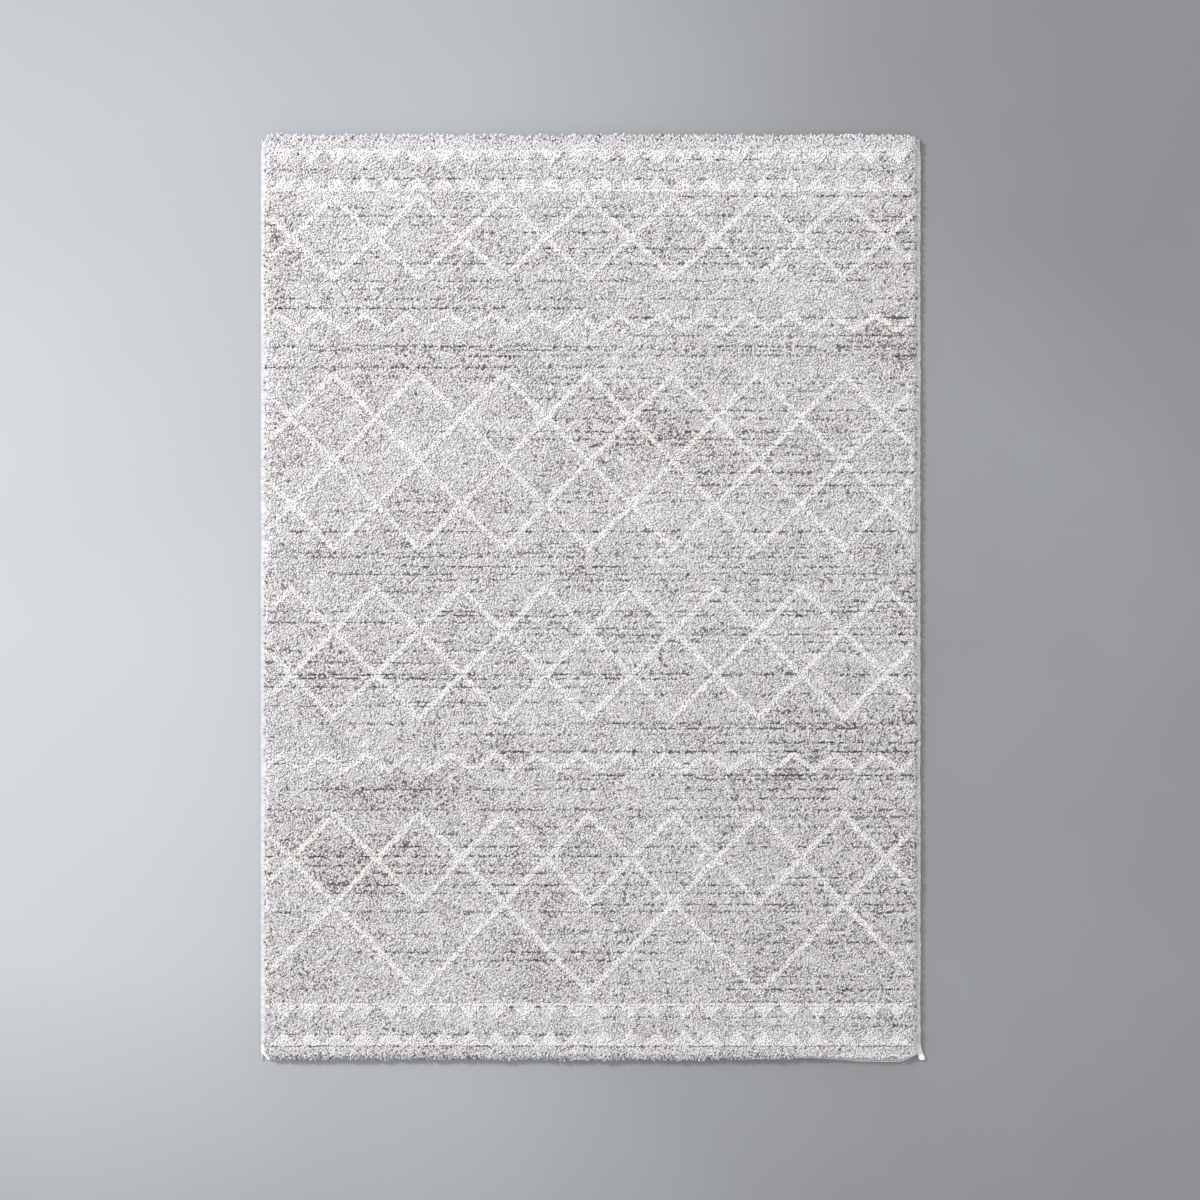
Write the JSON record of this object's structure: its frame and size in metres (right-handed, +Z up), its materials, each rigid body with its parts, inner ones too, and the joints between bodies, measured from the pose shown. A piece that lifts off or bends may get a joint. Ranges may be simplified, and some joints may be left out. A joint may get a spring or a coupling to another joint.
{
  "type": "area rug",
  "caption": "Rectangular shaggy area rug: marled grey pile with an ivory lattice pattern on a woven ground, with serged sides and taped ends.",
  "frame": {"origin": "on the floor under the rug's centre, at the underside", "axes": "+Z up out of the pile, +Y along the length towards the end with the single row of diamonds, +X across the width"},
  "size_m": [1.6, 2.25, 0.0232],
  "materials": {
    "grey_pile": "matte",
    "ivory_pile": "matte",
    "weave": "matte",
    "latex": "matte",
    "serging": "matte",
    "cord": "matte",
    "tape": "matte",
    "thread": "matte",
    "label": "satin"
  },
  "bodies": {
    "root": {"field_pile": "grey_pile", "tooth_row_top_outer": "ivory_pile", "tooth_row_top_inner": "ivory_pile", "diamond_band_1": "ivory_pile", "zigzag_top": "ivory_pile", "diamond_band_2": "ivory_pile", "diamond_band_3": "ivory_pile", "zigzag_bottom": "ivory_pile", "diamond_band_4": "ivory_pile", "tooth_row_bottom_inner": "ivory_pile", "tooth_row_bottom_outer": "ivory_pile", "ground_weave": "weave", "back_coat": "latex", "care_label": "label", "serging_left": "serging", "serging_right": "serging", "serge_cord_left": "cord", "serge_cord_right": "cord", "end_tape_top": "tape", "end_tape_bottom": "tape", "hem_thread_top": "thread", "hem_thread_bottom": "thread"}
  },
  "joints": []
}
